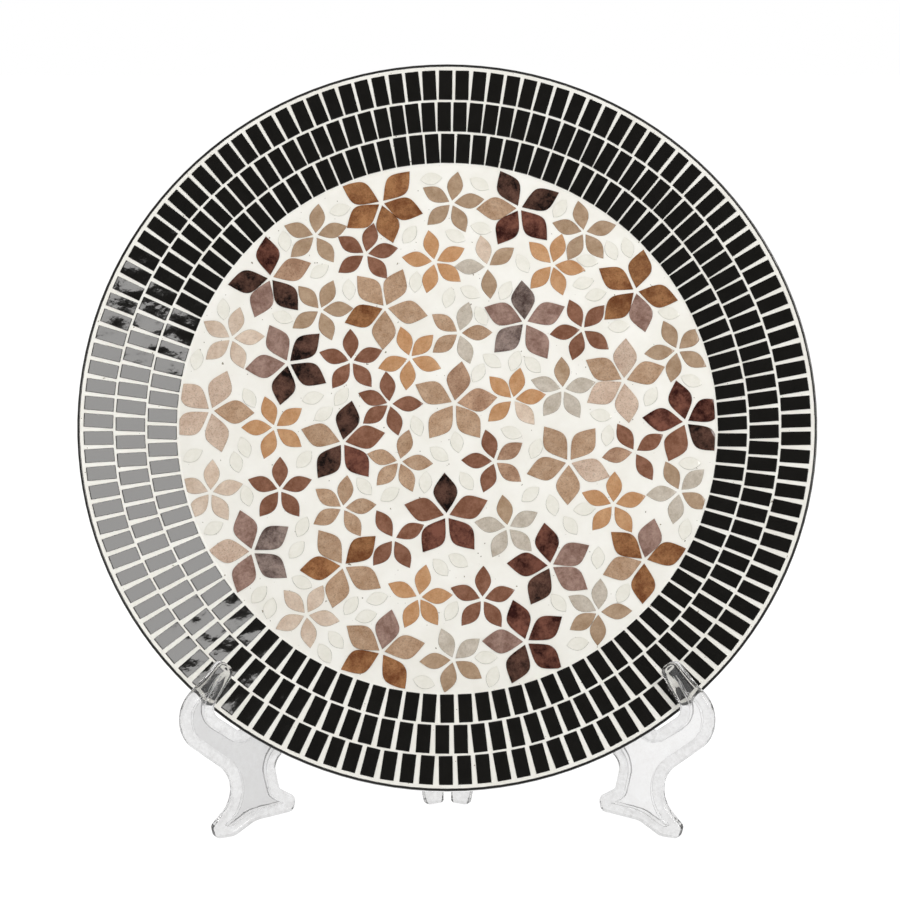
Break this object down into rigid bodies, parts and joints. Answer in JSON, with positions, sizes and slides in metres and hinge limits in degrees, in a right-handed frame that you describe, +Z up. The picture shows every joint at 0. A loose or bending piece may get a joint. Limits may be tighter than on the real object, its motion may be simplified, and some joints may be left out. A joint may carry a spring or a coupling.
{
  "type": "mosaic decorative plate on stand",
  "caption": "Round dark dinner-size plate set with a flower mosaic and black rim tiles, leaning in a clear two-piece folding stand.",
  "frame": {"origin": "middle of the footprint of the whole thing, on the surface it stands on", "axes": "+Z up, -Y towards the plate's front, +X to the viewer's right"},
  "size_m": [0.27, 0.0907, 0.2753],
  "materials": {
    "plate_black": "glossy black, clear-coated",
    "grout_white": "smooth white grout with a few dark specks under a clear coat",
    "tile_black": "glossy black under a clear coat",
    "tile_ivory": "glossy ivory",
    "tile_pale": "glossy pale pink-beige",
    "tile_rust": "glossy speckled rust brown",
    "tile_chocolate": "glossy chocolate brown",
    "tile_orange": "glossy light orange-brown",
    "tile_beige": "glossy beige",
    "tile_grey": "glossy warm grey",
    "tile_tan": "glossy speckled tan",
    "tile_mauve": "glossy mauve-grey",
    "tile_dark": "glossy dark marbled brown",
    "tile_dark_red": "glossy dark marbled red",
    "stand_clear": "clear, polished"
  },
  "bodies": {
    "stand_left": {"stand_left": "stand_clear"},
    "stand_right": {"stand_right": "stand_clear"},
    "plate": {"plate_body": "plate_black", "grout_bed": "grout_white", "rim_tiles_outer": "tile_black", "rim_tiles_middle": "tile_black", "rim_tiles_inner": "tile_black", "flower_01": "tile_rust", "flower_02": "tile_beige", "flower_03": "tile_chocolate", "flower_04": "tile_orange", "flower_05": "tile_dark", "flower_06": "tile_beige", "flower_07": "tile_mauve", "flower_09": "tile_dark", "flower_10": "tile_chocolate", "flower_11": "tile_orange", "flower_12": "tile_tan", "flower_13": "tile_orange", "flower_14": "tile_chocolate", "flower_15": "tile_dark", "flower_16": "tile_beige", "flower_17": "tile_dark_red", "flower_18": "tile_grey", "flower_19": "tile_grey", "flower_20": "tile_orange", "flower_21": "tile_rust", "flower_22": "tile_dark", "flower_23": "tile_chocolate", "flower_24": "tile_beige", "flower_25": "tile_grey", "flower_26": "tile_tan", "flower_27": "tile_grey", "flower_28": "tile_tan", "flower_29": "tile_orange", "flower_30": "tile_dark_red", "flower_31": "tile_tan", "flower_32": "tile_chocolate", "flower_34": "tile_tan", "flower_35": "tile_mauve", "flower_36": "tile_dark", "flower_37": "tile_rust", "flower_38": "tile_chocolate", "flower_40": "tile_orange", "flower_41": "tile_tan", "flower_42": "tile_grey", "flower_43": "tile_chocolate", "flower_44": "tile_tan", "flower_45": "tile_chocolate", "flower_46": "tile_orange", "flower_47": "tile_beige", "flower_48": "tile_grey", "flower_49": "tile_dark", "flower_50": "tile_rust", "flower_51": "tile_chocolate", "flower_52": "tile_grey", "flower_53": "tile_dark_red", "flowers_pale": "tile_pale", "leaf_tiles": "tile_ivory"}
  },
  "joints": [
    {"name": "stand_hinge", "type": "hinge", "parent": "stand_left", "child": "stand_right", "pos_m": [0, 0.01511, 0.06], "axis": [0, 0, 1], "range_deg": [-0.4, 1]},
    {"name": "plate_lift", "type": "slide", "parent": "stand_left", "child": "plate", "axis": [0, 0.3173, 0.9483], "range_m": [0, 0.3]}
  ]
}
